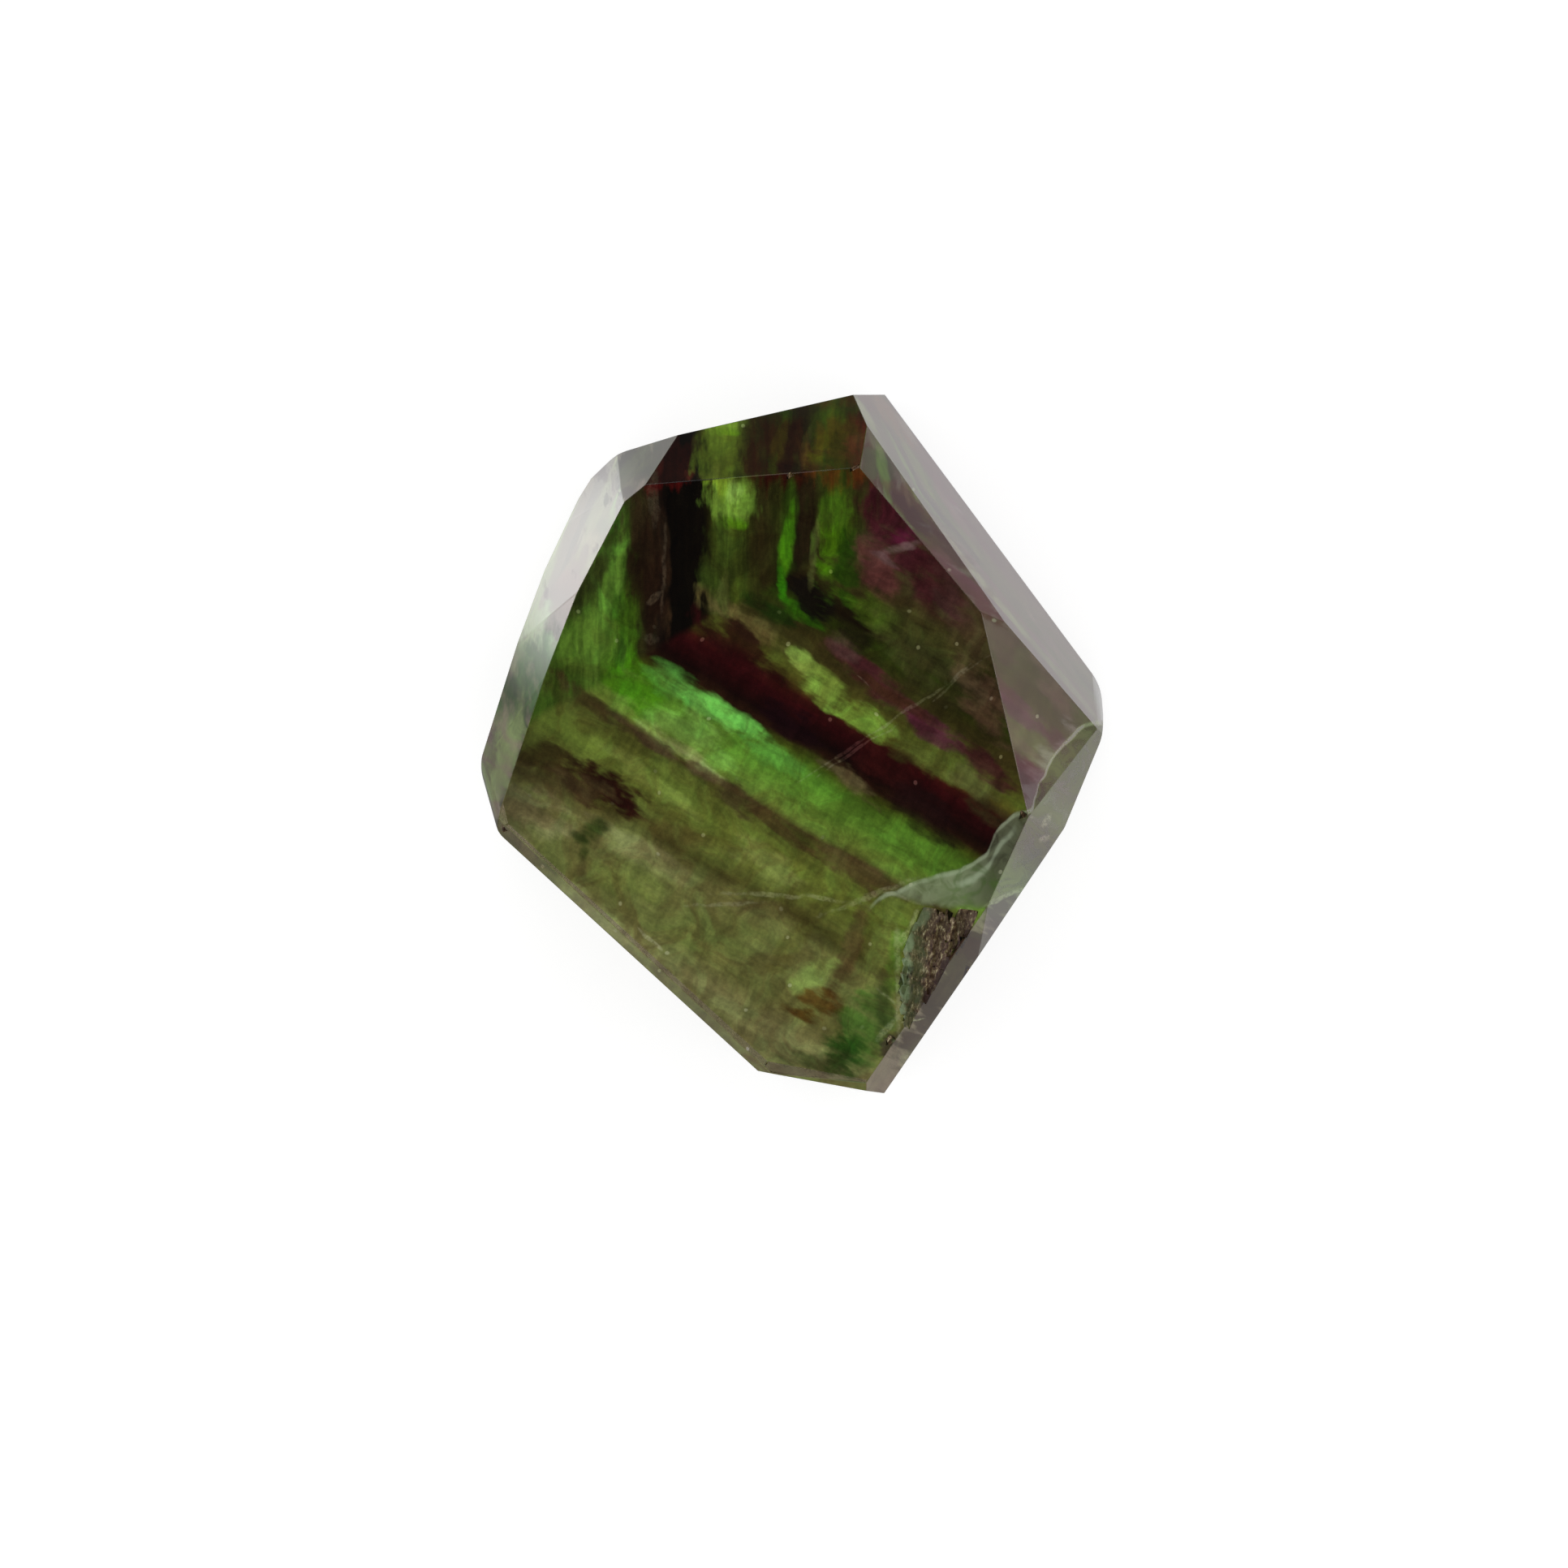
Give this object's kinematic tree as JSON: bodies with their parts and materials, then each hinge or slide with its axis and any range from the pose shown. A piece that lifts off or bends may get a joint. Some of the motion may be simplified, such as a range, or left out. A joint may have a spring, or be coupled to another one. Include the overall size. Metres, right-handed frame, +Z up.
{
  "type": "polished fluorite freeform",
  "caption": "Polished freeform stone of banded, see-through fluorite with flat hand-ground facets, a large front face and a rough broken patch, lying on its broad back face.",
  "frame": {"origin": "middle of the underside of the stone's box, on the surface it lies on", "axes": "+Z up, from the broad back face to the large front face; +Y along the stone's longest way, towards the top bevel; +X towards its right corner"},
  "size_m": [0.0436, 0.049, 0.022],
  "materials": {
    "fluorite": "polished clear stone, banded green, olive, purple and near black, with grey facets"
  },
  "bodies": {
    "root": {"fluorite": "fluorite"}
  },
  "joints": []
}
